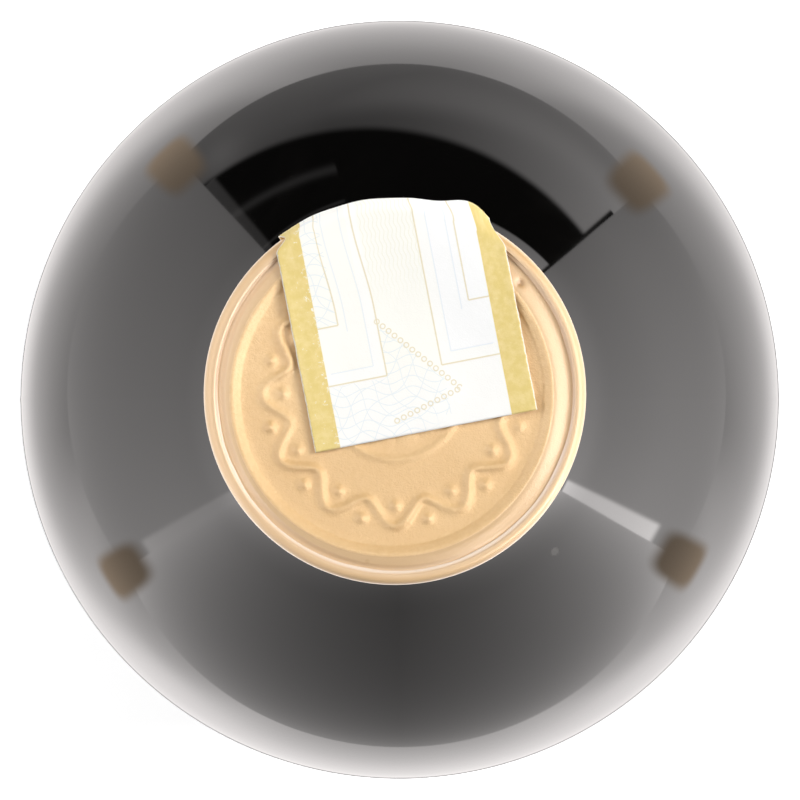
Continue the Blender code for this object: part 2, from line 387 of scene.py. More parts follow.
def rings(tree, place, start, finish, p):
    return useGroup(tree, ringRow, {
        "Place": place, "Start": start, "Finish": finish, "Pitch": p["ringPitch"], "Radius": p["ringRadius"],
        "Stroke": p["ringStroke"]}).outputs["Mask"]


# The glass.

glass = dict(
    lipZ=299.0 * mm, lipRound=1.2 * mm,
    ringRadius=14.6 * mm, ringBaseZ=283.5 * mm,
    neckTopRadius=13.9 * mm, neckTopZ=281.3 * mm,
    shoulderBaseZ=185.6 * mm, shoulderRadius=37.5 * mm, filletRadius=11.3 * mm, sweepDeg=57.8,
    bodyRadius=37.5 * mm, panelDepth=0.5 * mm, panelTopZ=176.0 * mm, panelBaseZ=18.0 * mm, panelRamp=1.5 * mm,
    heelRound=7.0 * mm, footWidth=3.0 * mm, puntDepth=20.0 * mm,
    columns=232, seamHeight=0.05 * mm, seamHalfWidth=0.35 * mm, waviness=0.010 * mm,
    clean=(0.0012, 0.0011, 0.0010), hazy=(0.0042, 0.0038, 0.0034), dust=(0.62, 0.60, 0.57),
    rippleHeight=0.018 * mm, stippleHeight=0.35 * mm, stippleTop=1.6 * mm, stippleInner=26.5 * mm,
)
sweep = math.radians(glass["sweepDeg"])
turnIn = 1.0 - math.cos(sweep)
neckBaseRadius = glass["bodyRadius"] - (glass["shoulderRadius"] + glass["filletRadius"]) * turnIn
neckBaseZ = glass["shoulderBaseZ"] + (glass["shoulderRadius"] + glass["filletRadius"]) * math.sin(sweep)
panelRadius = glass["bodyRadius"] - glass["panelDepth"]


def neckRadius(z):
    # The glass between shoulder and mouth, in straight lines between its known widths.
    return np.interp(
        z, [neckBaseZ, glass["neckTopZ"], glass["ringBaseZ"]],
        [neckBaseRadius, glass["neckTopRadius"], glass["ringRadius"]],
    )


def glassProfile():
    # The section from the middle of the mouth, down the outside, round the heel and up the punt.
    g = glass
    ringCentre = (g["ringRadius"] - g["lipRound"], g["lipZ"] - g["lipRound"])
    filletCentre = (neckBaseRadius + g["filletRadius"], neckBaseZ)
    shoulderCentre = (g["bodyRadius"] - g["shoulderRadius"], g["shoulderBaseZ"])
    footOuter = g["bodyRadius"] - g["heelRound"]
    footInner = footOuter - g["footWidth"]
    puntRadius = (footInner**2 + g["puntDepth"] ** 2) / (2 * g["puntDepth"])
    puntCentre = (0.0, g["puntDepth"] - puntRadius)
    puntStartDeg = math.degrees(math.atan2(-puntCentre[1], footInner))
    punt = arcPoints(puntCentre, puntRadius, puntStartDeg, 90, 22)
    punt[-1, 0] = 0.0
    return np.concatenate([
        linePoints((0.0, g["lipZ"]), (ringCentre[0], g["lipZ"]), 3),
        arcPoints(ringCentre, g["lipRound"], 90, 0, 6),
        linePoints((g["ringRadius"], g["ringBaseZ"]), (g["neckTopRadius"], g["neckTopZ"]), 4),
        linePoints((g["neckTopRadius"], g["neckTopZ"]), (neckBaseRadius, neckBaseZ), 12),
        arcPoints(filletCentre, g["filletRadius"], 180, 180 + g["sweepDeg"], 34)[:-1],
        arcPoints(shoulderCentre, g["shoulderRadius"], g["sweepDeg"], 0, 84)[:-1],
        linePoints((g["bodyRadius"], g["shoulderBaseZ"]), (g["bodyRadius"], g["panelTopZ"] + 0.6 * mm), 5),
        roundedPath(
            [(g["bodyRadius"], g["panelTopZ"] + 0.5 * mm), (g["bodyRadius"], g["panelTopZ"]),
             (panelRadius, g["panelTopZ"] - g["panelRamp"]), (panelRadius, g["panelTopZ"] - g["panelRamp"] - 1 * mm)],
            [0.4 * mm, 0.6 * mm], 5),
        linePoints((panelRadius, g["panelTopZ"] - 3 * mm), (panelRadius, g["panelBaseZ"] + 3.2 * mm), 26),
        roundedPath(
            [(panelRadius, g["panelBaseZ"] + 3 * mm), (panelRadius, g["panelBaseZ"] + g["panelRamp"]),
             (g["bodyRadius"], g["panelBaseZ"]), (g["bodyRadius"], g["panelBaseZ"] - 1 * mm)],
            [0.6 * mm, 0.6 * mm], 5),
        linePoints((g["bodyRadius"], g["panelBaseZ"] - 2 * mm), (g["bodyRadius"], g["heelRound"]), 5),
        arcPoints((footOuter, g["heelRound"]), g["heelRound"], 0, -90, 14),
        linePoints((footOuter - 0.3 * mm, 0.0), (footInner, 0.0), 4),
        punt,
    ])


def makeGlassBody():
    # The section turned about Z: (r cos t, r sin t, z). The wall swells and sinks a hundredth of
    # a millimetre in slow waves, and two opposite mould seams are thin ridges down the sides.
    profile = glassProfile()
    seamPlaces = np.array([0.0, math.pi])
    ridge = np.array([-2.0, -1.0, -0.5, 0.0, 0.5, 1.0, 2.0]) * glass["seamHalfWidth"] / glass["bodyRadius"]
    t = np.concatenate([
        np.linspace(0, math.tau, glass["columns"], endpoint=False) + math.pi / glass["columns"],
        (seamPlaces[:, None] + ridge[None]).ravel() % math.tau,
    ])
    t = np.unique(np.round(t, 7))[None]
    r, z = profile[:, :1], profile[:, 1:]
    outside = smoothStep(r, 12 * mm, 16 * mm) * smoothStep(z, 8 * mm, 16 * mm)
    wave = np.sin(3 * t + 40 * z) + 0.7 * np.sin(5 * t - 70 * z + 1.0) + 0.5 * np.sin(2 * t + 130 * z + 2.0)
    offSeam = np.abs((t + math.pi / 2) % math.pi - math.pi / 2) * r / glass["seamHalfWidth"]
    seamShare = 1.0 - 0.85 * smoothStep(z, 186 * mm, 196 * mm)
    lift = outside * (glass["waviness"] * wave + glass["seamHeight"] * seamShare * np.exp(-(offSeam**2)))
    radius = np.maximum(r + lift - outside * glass["waviness"] * 2.2 - outside * glass["seamHeight"], 0.0)
    points = turnedAbout(radius, t, z)
    body = gridPiece("glassBody", points, around=True, sharpDeg=38.0)

    material, tree, shader = startMaterial(
        "darkGlass", **{"IOR": 1.52, "Metallic": 0.0, "Transmission Weight": 0.0, "Coat Weight": 0.0})
    place = addNode(tree, "ShaderNodeTexCoord").outputs["Object"]
    dust = specks(tree, place, 210.0, 0.10, 0.09)
    haze = softStep(tree, noise(tree, place, 38.0, 5.0, Roughness=0.6, Distortion=1.2), 0.45, 0.8)
    base = mixColour(tree, haze, glass["clean"], glass["hazy"])
    base = mixColour(tree, times(tree, dust, 0.10), base, glass["dust"])
    tree.links.new(base, shader.inputs["Base Color"])
    tree.links.new(plus(tree, times(tree, haze, 0.03), 0.042), shader.inputs["Roughness"])
    height = parts(tree, place)["Z"]
    onFoot = times(tree, calc(tree, "LESS_THAN", height, glass["stippleTop"]),
                   calc(tree, "GREATER_THAN", fromAxis(tree, place), glass["stippleInner"]))
    stipple = addNode(tree, "ShaderNodeTexVoronoi", {"Vector": place, "Scale": 520.0}).outputs["Distance"]
    ripple = noise(tree, place, 85.0, 1.0)
    addBump(tree, shader, plus(tree, times(tree, ripple, glass["rippleHeight"]),
                               times(tree, stipple, onFoot, glass["stippleHeight"])))
    dress(body, material, "dark_glass", "bottle")


makeGlassBody()


# The capsule: a skirt shrunk onto the neck, its lip turned in over the disc.

skirt = dict(
    topZ=300.0 * mm, baseZ=240.0 * mm, wall=0.35 * mm, gap=0.3 * mm,
    edgeRadius=15.25 * mm, edgeRound=0.72 * mm,
    lipRadius=14.12 * mm, lipDrop=0.20 * mm, lipThickness=0.16 * mm,
    columns=288, overlapDeg=205.0, overlapWidth=4.0 * mm, overlapHeight=0.09 * mm,
    wrinkles=0.07 * mm, hugLength=1.6 * mm, hugGap=0.06 * mm,
    perforationZ=(290.6, 284.9), perforationPitch=1.35, perforationWidth=0.10, perforationDepth=0.05 * mm,
    sideTones=((0.80, 0.54, 0.29), (0.84, 0.60, 0.34)), topShadeTone=(0.70, 0.445, 0.20), lipFilmSheenTone=(0.76, 0.58, 0.41),
    cutHighlightShadeTones=((0.62, 0.45, 0.32), (0.88, 0.80, 0.72)), holeTone=(0.30, 0.18, 0.08), rubTone=(0.95, 0.88, 0.78),
)


def skirtRadius(z):
    # The skirt follows the neck a wall and a gap further out.
    return neckRadius(z) + skirt["gap"] + skirt["wall"]


def makeCapsuleSkirt():
    # The section from the lip's cut edge, over the rounded top edge, down the outside, round the
    # lower hem and back up inside, turned about Z. Shrink folds below the mouth's ring and the
    # step of the overlap seam move the outside in and out.
    s = skirt
    top, edge = s["topZ"], s["edgeRadius"]
    edgeCentre = (edge - s["edgeRound"], top - s["edgeRound"])
    lipTop = top - s["lipDrop"]
    lip = np.array([
        (s["lipRadius"] + 0.05 * mm, lipTop - s["lipThickness"]),
        (s["lipRadius"], lipTop - 0.09 * mm),
        (s["lipRadius"] + 0.02 * mm, lipTop - 0.02 * mm),
        (s["lipRadius"] + 0.08 * mm, lipTop + 0.015 * mm),
        (s["lipRadius"] + 0.16 * mm, lipTop + 0.02 * mm),
        (s["lipRadius"] + 0.26 * mm, lipTop + 0.05 * mm),
        (s["lipRadius"] + 0.34 * mm, lipTop + 0.12 * mm),
        (s["lipRadius"] + 0.40 * mm, top - 0.012 * mm),
    ])
    upper = arcPoints(edgeCentre, s["edgeRound"], 97, 0, 18)
    ringLow, neckTop = glass["ringBaseZ"], glass["neckTopZ"]
    down = roundedPath(
        [(edge, edgeCentre[1]), (edge, ringLow), (float(skirtRadius(neckTop)), neckTop),
         (float(skirtRadius(s["baseZ"] + s["hugLength"])), s["baseZ"] + s["hugLength"]),
         (float(neckRadius(s["baseZ"])) + s["hugGap"] + 0.12 * mm, s["baseZ"])],
        [2.0 * mm, 1.2 * mm, 0.5 * mm], 12)
    stations = np.concatenate([[0.0], np.cumsum(np.hypot(*np.diff(down, axis=0).T))])
    fine = np.unique(np.concatenate([stations, np.linspace(0, stations[-1], 90)]))
    down = np.stack([np.interp(fine, stations, down[:, 0]), np.interp(fine, stations, down[:, 1])], axis=1)
    insideZ = np.linspace(s["baseZ"], 298.4 * mm, 14)
    inside = np.stack([neckRadius(insideZ) + s["hugGap"], insideZ], axis=1)
    roof = np.array([(14.3 * mm, 299.25 * mm), (s["lipRadius"] + 0.1 * mm, 299.4 * mm)])
    profile = np.concatenate([lip, upper[:-1], down, inside, roof, lip[:1]])
    isOutside = np.zeros(len(profile))
    isOutside[len(lip) + len(upper) - 1:len(lip) + len(upper) - 1 + len(down)] = 1.0

    overlap = math.radians(s["overlapDeg"])
    seamColumns = overlap + np.array([-0.12, -0.04, 0.04, 0.12]) * mm / edge
    t = np.concatenate([np.linspace(0, math.tau, s["columns"], endpoint=False), seamColumns])
    t = np.unique(np.round(t, 7))[None]
    r, z = profile[:, :1], profile[:, 1:]
    outside = isOutside[:, None]
    around = (t - overlap + math.pi) % math.tau - math.pi
    past = around * edge
    overStep = smoothStep(past, -0.05 * mm, 0.05 * mm) * (1 - smoothStep(past, 1.0 * mm, s["overlapWidth"]))
    foldZone = hill(z, 279.0 * mm, 5.0 * mm) + 0.35 * hill(z, 262.0 * mm, 12.0 * mm)
    folds = np.sin(19 * t + 2.0 * np.sin(3 * t)) * (0.55 + 0.45 * np.sin(2 * t + 1.3)) + 0.4 * np.sin(41 * t + 1.0)
    hem = 1.0 - smoothStep(z, s["baseZ"] + 0.2 * mm, s["baseZ"] + 3.0 * mm)
    lift = outside * (s["overlapHeight"] * (overStep - 1.0) * smoothStep(296.0 * mm - z, 0.0, 6.0 * mm) * (1 - hem)
                      + s["wrinkles"] * foldZone * (folds - 1.2))
    lipWobble = (1 - outside) * smoothStep(14.45 * mm - r, 0.0, 0.3 * mm) * 0.035 * mm
    wobble = lipWobble * noiseWave(np.cos(t) * 9, np.sin(t) * 9, 5, 7, 0.5, 3.0)
    radius = r + lift + wobble
    points = turnedAbout(radius, t, z)
    skirtPlace = np.stack([t / mm * edge + 0 * z, z / mm + 0 * t, radius / mm], axis=-1)
    piece = gridPiece("capsuleSkirt", points, around=True, vectors={"skirtPlace": skirtPlace}, sharpDeg=60.0)

    material, tree, shader = startMaterial(
        "peachFoil", **{"Metallic": 0.05, "IOR": 1.5, "Specular IOR Level": 0.8, "Coat Roughness": 0.13})
    place = addNode(tree, "ShaderNodeTexCoord").outputs["Object"]
    laid = stored(tree, "skirtPlace")
    split = parts(tree, laid)
    roundMm, heightMm, outMm = split["X"], split["Y"], split["Z"]
    grain = grainOn(tree, place, 2600.0, 420.0, 0.8)
    onTop = softStep(tree, heightMm, 299.3, 299.7)
    inner = times(tree, onTop, softStep(tree, outMm, 14.95, 14.35))
    cutEdge = times(tree, onTop, softStep(tree, outMm, 14.46, 14.20))
    tone = mixColour(tree, grain["Tone"], *s["sideTones"])
    # The top of the skirt is painted darker than its side: painted shade.
    tone = mixColour(tree, times(tree, onTop, 0.85), tone, s["topShadeTone"])
    # The inner lip is painted paler and pinker: partly the film's own colour, partly painted sheen.
    tone = mixColour(tree, times(tree, inner, 0.5), tone, s["lipFilmSheenTone"])
    # The lip's cut edge is painted pale at the front, a painted highlight, and tan elsewhere, painted shade.
    atFront = softStep(tree, parts(tree, place)["Y"], 3 * mm, -7 * mm)
    tone = mixColour(tree, times(tree, cutEdge, 0.55), tone, mixColour(tree, atFront, *s["cutHighlightShadeTones"]))
    shine = minus(tree, 1.0, times(tree, cutEdge, minus(tree, 1.0, atFront)))
    tree.links.new(times(tree, shine, 0.55), shader.inputs["Coat Weight"])
    inPitch = calc(tree, "FLOORED_MODULO", roundMm, s["perforationPitch"])
    holes = largest(tree, *[
        rule(tree, heightMm, inPitch, rowZ, s["perforationWidth"], 0.0, 0.62 * s["perforationPitch"])
        for rowZ in s["perforationZ"]])
    tone = mixColour(tree, times(tree, holes, 0.55), tone, s["holeTone"])
    rub = specks(tree, place, 330.0, 0.035, 0.12)
    tone = mixColour(tree, times(tree, rub, 0.5), tone, s["rubTone"])
    tree.links.new(tone, shader.inputs["Base Color"])
    dull = plus(tree, times(tree, grain["Tone"], 0.16), 0.57)
    tree.links.new(minus(tree, dull, times(tree, shine, 0.3)), shader.inputs["Roughness"])
    addBump(tree, shader, minus(tree, times(tree, grain["Height"], 0.006 * mm),
                                times(tree, holes, s["perforationDepth"])))
    dress(piece, material, "capsule_foil", "capsule")


makeCapsuleSkirt()


# The embossed disc in the capsule's top.

disc = dict(
    faceZ=299.60 * mm, baseZ=299.32 * mm, rimRadius=14.25 * mm, rimHeight=0.05 * mm,
    stepInner=11.50 * mm, stepOuter=12.25 * mm, stepHeight=0.07 * mm,
    crestInner=11.95 * mm, crestRadius=12.75 * mm, crestHeight=0.32 * mm,
    fallInner=12.78 * mm, fallOuter=14.38 * mm, dipInner=13.30 * mm, dipOuter=14.08 * mm,
    landCentre=(-0.27 * mm, -0.10 * mm), threadRadius=12.24 * mm, threadWidth=0.12 * mm, threadHeight=0.03 * mm,
    ribbonRadius=9.60 * mm, ribbonSwing=0.95 * mm, strokeWidth=0.35 * mm, strokeHeight=0.29 * mm,
    beadCount=24, beadOffset=0.66 * mm, beadSize=0.42 * mm, stripAxisDeg=101.0,
    innerRingRadius=5.25 * mm, innerRingWidth=0.34 * mm, innerRingHeight=0.16 * mm,
    petalCount=12, petalHeight=0.12 * mm,
    rows=170, columns=420,
    dimple=(41.4, 13.32), dimpleSize=0.30 * mm, dimpleDepth=0.14 * mm,
    tones=((0.71, 0.465, 0.215), (0.79, 0.55, 0.28)), hollowTone=(0.72, 0.46, 0.22), frontShadeTone=(0.62, 0.395, 0.17),
    slopeShadeTone=(0.70, 0.47, 0.25), filmSheenTone=(0.70, 0.54, 0.39), poreTone=(0.55, 0.33, 0.14),
    chipTone=(0.97, 0.93, 0.88), dentShadeTone=(0.36, 0.20, 0.09), grainHeight=0.040 * mm, slopeGrain=0.012 * mm,
)


def discRelief(r, t):
    # Height over the flat face. Each part is a bell or a smooth step of the distance from its own
    # circle or stroke: the land a little off centre, a thread inside it, a ribbon that waves round
    # with a bead in each bend, a ring with petals in the middle, a dent, and slow waves from the
    # pressing. The ribbon is flatter where the strip presses on it.
    d = disc
    r = r + 0 * t
    landR = np.hypot(r * np.cos(t) - d["landCentre"][0], r * np.sin(t) - d["landCentre"][1])
    land = smoothStep(landR, d["stepInner"], d["stepOuter"])
    crest = smoothStep(landR, d["crestInner"], d["crestRadius"])
    fall = np.maximum(smoothStep(landR, d["fallInner"], d["fallOuter"]), smoothStep(r, d["dipInner"], d["dipOuter"]))
    relief = (d["stepHeight"] * land + d["crestHeight"] * crest) * (1 - fall) + d["rimHeight"] * fall
    relief += d["threadHeight"] * hill(landR, d["threadRadius"], d["threadWidth"])
    beadPitch = math.tau / d["beadCount"]
    which = np.round(t / beadPitch)
    inBend = np.where(which % 2 == 0, -1.0, 1.0) * d["beadOffset"]
    bead = np.hypot(r * np.sin(t - which * beadPitch), r * np.cos(t - which * beadPitch) - d["ribbonRadius"] - inBend)
    swing = d["ribbonSwing"] * np.cos(t * d["beadCount"] / 2)
    lean = d["ribbonSwing"] * d["beadCount"] / 2 * np.sin(t * d["beadCount"] / 2) / d["ribbonRadius"]
    ribbon = (r - d["ribbonRadius"] - swing) / np.sqrt(1 + lean**2)
    wobble = 1.0 + 0.25 * noiseWave(r / mm * np.cos(t), r / mm * np.sin(t), 11, 9, 0.6, 2.2)
    axis = math.radians(d["stripAxisDeg"])
    u = r * np.cos(t) * math.sin(axis) - r * np.sin(t) * math.cos(axis)
    v = r * np.cos(t) * math.cos(axis) + r * np.sin(t) * math.sin(axis)
    pressed = smoothStep(u, -7.2 * mm, -6.2 * mm) * (1 - smoothStep(u, 10.0 * mm, 11.0 * mm))
    pressed = pressed * smoothStep(v, -3.5 * mm, -2.7 * mm)
    relief += d["strokeHeight"] * (1 - 0.65 * pressed) * wobble * np.maximum(
        np.exp(-((ribbon / d["strokeWidth"]) ** 2)), np.exp(-((bead / d["beadSize"]) ** 2)))
    relief += d["innerRingHeight"] * hill(r, d["innerRingRadius"], d["innerRingWidth"])
    petal = np.abs(np.sin(t * d["petalCount"] / 2)) * smoothStep(r, 0.8 * mm, 2.4 * mm)
    relief += d["petalHeight"] * petal * (1 - smoothStep(r, 3.3 * mm, 4.4 * mm))
    x, y = r / mm * np.cos(t), r / mm * np.sin(t)
    relief += 0.020 * mm * noiseWave(x, y, 3, 10, 0.25, 0.9) * (1 - land)
    angle, reach = math.radians(d["dimple"][0]), d["dimple"][1]
    far = np.hypot(x - reach * math.cos(angle), y - reach * math.sin(angle)) * mm
    return relief - d["dimpleDepth"] * np.exp(-((far / d["dimpleSize"]) ** 2))


def makeTopDisc():
    # A polar grid (r cos t, r sin t, face + relief), closed by a rim and a flat underside.
    d = disc
    t = np.linspace(0, math.tau, d["columns"], endpoint=False)[None]
    coarse, fine = np.linspace(0, 4.6, 24)[:-1], np.linspace(4.6, d["rimRadius"] / mm, d["rows"] - 23)
    r = np.concatenate([coarse, fine])[:, None] * mm
    z = d["faceZ"] + discRelief(r, t)
    top = turnedAbout(r, t, z)
    under = turnedAbout(d["rimRadius"], t, d["baseZ"])
    middle = turnedAbout(0.0, t, d["baseZ"])
    piece = gridPiece("topDisc", np.concatenate([top, under, middle]), around=True, sharpDeg=60.0)

    material, tree, shader = startMaterial("embossedFoil", **{
        "Metallic": 0.05, "IOR": 1.5, "Specular IOR Level": 0.8, "Coat Weight": 0.12, "Coat Roughness": 0.22})
    place = addNode(tree, "ShaderNodeTexCoord").outputs["Object"]
    grain = grainOn(tree, place, 7500.0, 2800.0, 1.1)
    cloud = noise(tree, place, 190.0, 3.0)
    split = parts(tree, place)
    out = fromAxis(tree, place, d["landCentre"])
    mottle = plus(tree, times(tree, cloud, 0.5), times(tree, grain["Tone"], 0.5))
    tone = mixColour(tree, softStep(tree, mottle, 0.32, 0.68), *d["tones"])
    hollow = softStep(tree, split["Z"], 299.66 * mm, 299.60 * mm)
    tone = mixColour(tree, times(tree, hollow, 0.25), tone, d["hollowTone"])
    # The front of the disc is painted darker: painted shade.
    front = softStep(tree, split["Y"], 3 * mm, -7 * mm)
    tone = mixColour(tree, times(tree, front, 0.5), tone, d["frontShadeTone"])
    # The slope past the land is smoother than the face and painted darker as painted shade; its pale film tone is a
    # little film colour and mostly painted sheen, strongest at the left and thinning to the right.
    slope = softStep(tree, out, 12.80 * mm, 13.00 * mm)
    tone = mixColour(tree, times(tree, slope, 0.8), tone, d["slopeShadeTone"])
    filmSheenShare = plus(tree, times(tree, softStep(tree, split["X"], 9 * mm, 2 * mm), 0.4), 0.1)
    filmSheen = times(tree, softStep(tree, out, 13.55 * mm, 14.05 * mm), filmSheenShare)
    tone = mixColour(tree, filmSheen, tone, d["filmSheenTone"])
    pores = specks(tree, place, 900.0, 0.10, 0.16)
    tone = mixColour(tree, times(tree, pores, 0.30), tone, d["poreTone"])
    chips = specks(tree, place, 300.0, 0.03, 0.12)
    tone = mixColour(tree, times(tree, chips, 0.8), tone, d["chipTone"])
    # The dent is painted dark brown: painted shade.
    angle, reach = math.radians(d["dimple"][0]), d["dimple"][1] * mm
    middle = (reach * math.cos(angle), reach * math.sin(angle), 299.7 * mm)
    dent = vectorCalc(tree, "DISTANCE", place, middle)["Value"]
    tone = mixColour(tree, times(tree, softStep(tree, dent, 0.5 * mm, 0.15 * mm), 0.6), tone, d["dentShadeTone"])
    tree.links.new(tone, shader.inputs["Base Color"])
    dull = plus(tree, times(tree, grain["Tone"], 0.14), 0.38)
    tree.links.new(times(tree, dull, minus(tree, 1.0, times(tree, slope, 0.58))), shader.inputs["Roughness"])
    rise = minus(tree, d["grainHeight"], times(tree, slope, d["grainHeight"] - d["slopeGrain"]))
    addBump(tree, shader, times(tree, grain["Height"], rise))
    dress(piece, material, "disc_foil", "capsule_disc")


makeTopDisc()


# The paper seal strip.

strip = dict(
    width=18.0 * mm, thickness=0.11 * mm, axisDeg=101.0, offset=1.88 * mm, frontEnd=-3.42 * mm,
    seatZ=299.80 * mm, rimZ=300.12 * mm, seatInner=5.5 * mm, seatOuter=13.4 * mm,
    bendStart=14.45 * mm, bendRound=1.08 * mm, settleHeight=5.0 * mm,
    baseZ=232.0 * mm, skirtStep=3.0 * mm,
    bulge=0.85 * mm, bulgeDeg=32.5, bulgeWidthDeg=7.0,
    columns=108, topRows=96, bendRows=26, sideRows=110, sideAngleRadius=15.9 * mm,
    tornAlong=16.9 * mm, tornHalf=0.5 * mm,
    # Print in millimetres: each frame has an upright rule at a place across and starts at a place along.
    goldFrames=((2.22, 4.95, 6.95), (5.30, 9.62, 6.95)), paleFrame=(3.15, 5.9, 6.6), paleRule=(4.65, 9.0),
    goldRule=0.09, paleRuleWidth=0.07, bandInner=6.92, ringChain=((-2.4, 9.55), (3.35, 2.87), (-2.46, 1.16)),
    ringPitch=0.60, ringRadius=0.19, ringStroke=0.07, farEnd=60.0,
    paperTones=((0.945, 0.945, 0.91), (0.965, 0.965, 0.945)), creamTone=(0.955, 0.95, 0.88),
    coolTone=(0.935, 0.95, 0.965), meshInk=(0.60, 0.72, 0.80), threadInk=(0.78, 0.76, 0.58),
    paleInk=(0.62, 0.72, 0.82), goldInk=(0.70, 0.60, 0.33), wornTone=(0.94, 0.93, 0.89),
    bandTones=((0.76, 0.595, 0.20), (0.83, 0.67, 0.285)),
)


def stripRadius(z):
    # The paper's inner face: a hair over the skirt, stepping in to the glass below its hem.
    onGlass = smoothStep(skirt["baseZ"] - z, -0.2 * mm, strip["skirtStep"])
    over = (1 - onGlass) * (skirt["gap"] + skirt["wall"] + 0.04 * mm) + onGlass * 0.05 * mm
    return neckRadius(z) + over


def stripSurface():
    # Two parameters: the place across the paper and the share of each of three stretches. On top
    # the paper lies along its axis. At the rim it turns down on a quarter circle, and each line
    # moves round the neck from where it met the rim to where it lies on the side. The height over
    # the disc, a bulge at the right of the fold and slow waves are added.
    p = strip
    across = np.linspace(-0.5, 0.5, p["columns"] + 1)[None] * p["width"]
    u = p["offset"] + across
    angleTop = np.arcsin(u / p["bendStart"])
    vBend = p["bendStart"] * np.cos(angleTop)
    share = np.linspace(0, 1, p["topRows"])[:, None]
    v = p["frontEnd"] + (vBend - p["frontEnd"]) * share
    reach = np.hypot(u, v)
    zTop = p["seatZ"] + (p["rimZ"] - p["seatZ"]) * smoothStep(reach, p["seatInner"], p["seatOuter"])
    alongTop = v - p["frontEnd"]
    top = [u + 0 * v, v, zTop]

    turn = np.linspace(0, math.pi / 2, p["bendRows"] + 1)[1:, None]
    zBend = p["rimZ"] - p["bendRound"] * (1 - np.cos(turn)) + 0 * u
    rBend = p["bendStart"] + p["bendRound"] * np.sin(turn) + 0 * u
    alongBend = alongTop[-1:] + turn * p["bendRound"]
    zStart = p["rimZ"] - p["bendRound"]
    down = np.linspace(0, 1, p["sideRows"] + 1)[1:, None] ** 1.15
    zSide = zStart + (p["baseZ"] - zStart) * down + 0 * u
    away = p["bendStart"] + p["bendRound"] - stripRadius(np.array(zStart))
    rSide = stripRadius(zSide) + away * (1 - smoothStep(zStart - zSide, 0, p["settleHeight"]))
    alongSide = alongBend[-1:] + (zStart - zSide)
    z = np.concatenate([zBend, zSide])
    radius = np.concatenate([rBend, rSide])
    settled = smoothStep(p["rimZ"] - z, 0.0, p["settleHeight"])
    turned = smoothStep(np.concatenate([np.sin(turn), np.ones(down.shape)]) + 0 * u, 0.0, 1.0)
    angleSide = math.asin(p["offset"] / p["sideAngleRadius"]) + across / p["sideAngleRadius"]
    angle = angleTop + (angleSide - angleTop) * turned
    swell = hill(np.degrees(angle), p["bulgeDeg"], p["bulgeWidthDeg"]) * turned * (1 - settled)
    crimp = 0.05 * mm * np.sin(angle * 23 + 1.0) * hill(settled, 0.35, 0.3)
    radius = radius + p["bulge"] * swell + crimp
    over = [radius * np.sin(angle), radius * np.cos(angle), z]

    uu, vv, zz = (np.concatenate([a, b]) for a, b in zip(top, over))
    along = np.concatenate([alongTop, alongBend, alongSide])
    flat = np.concatenate([np.ones((p["topRows"], 1)) + 0 * vBend, 1 - turned])
    lift = 0.030 * mm * noiseWave(uu / mm, along / mm, 21, 9, 0.25, 0.8)
    lift += 0.012 * mm * noiseWave(uu / mm, along / mm, 8, 9, 1.0, 3.0)
    edgeCurl = 0.05 * mm * smoothStep(np.abs(across), 8.2 * mm, 9.0 * mm) * hill(along, 12 * mm, 5 * mm)
    zz = zz + (lift + edgeCurl) * flat
    nearEdge = smoothStep(np.abs(across), 8.3 * mm, 9.0 * mm)
    rough = 0.016 * mm * nearEdge * noiseWave(along / mm, 0 * along, 17, 9, 2.0, 14.0)
    torn = smoothStep(-across, 7.6 * mm, 9.0 * mm) * hill(along, p["tornAlong"], p["tornHalf"])
    uu = uu + rough * np.sign(across) + torn * 0.55 * mm
    zz = zz + torn * 0.12 * mm
    axis = math.radians(p["axisDeg"])
    x = uu * math.sin(axis) + vv * math.cos(axis)
    y = -uu * math.cos(axis) + vv * math.sin(axis)
    place = np.stack([across / mm + 0 * along, along / mm, 0 * along], axis=-1)
    return np.stack([x, y, zz], axis=-1), place


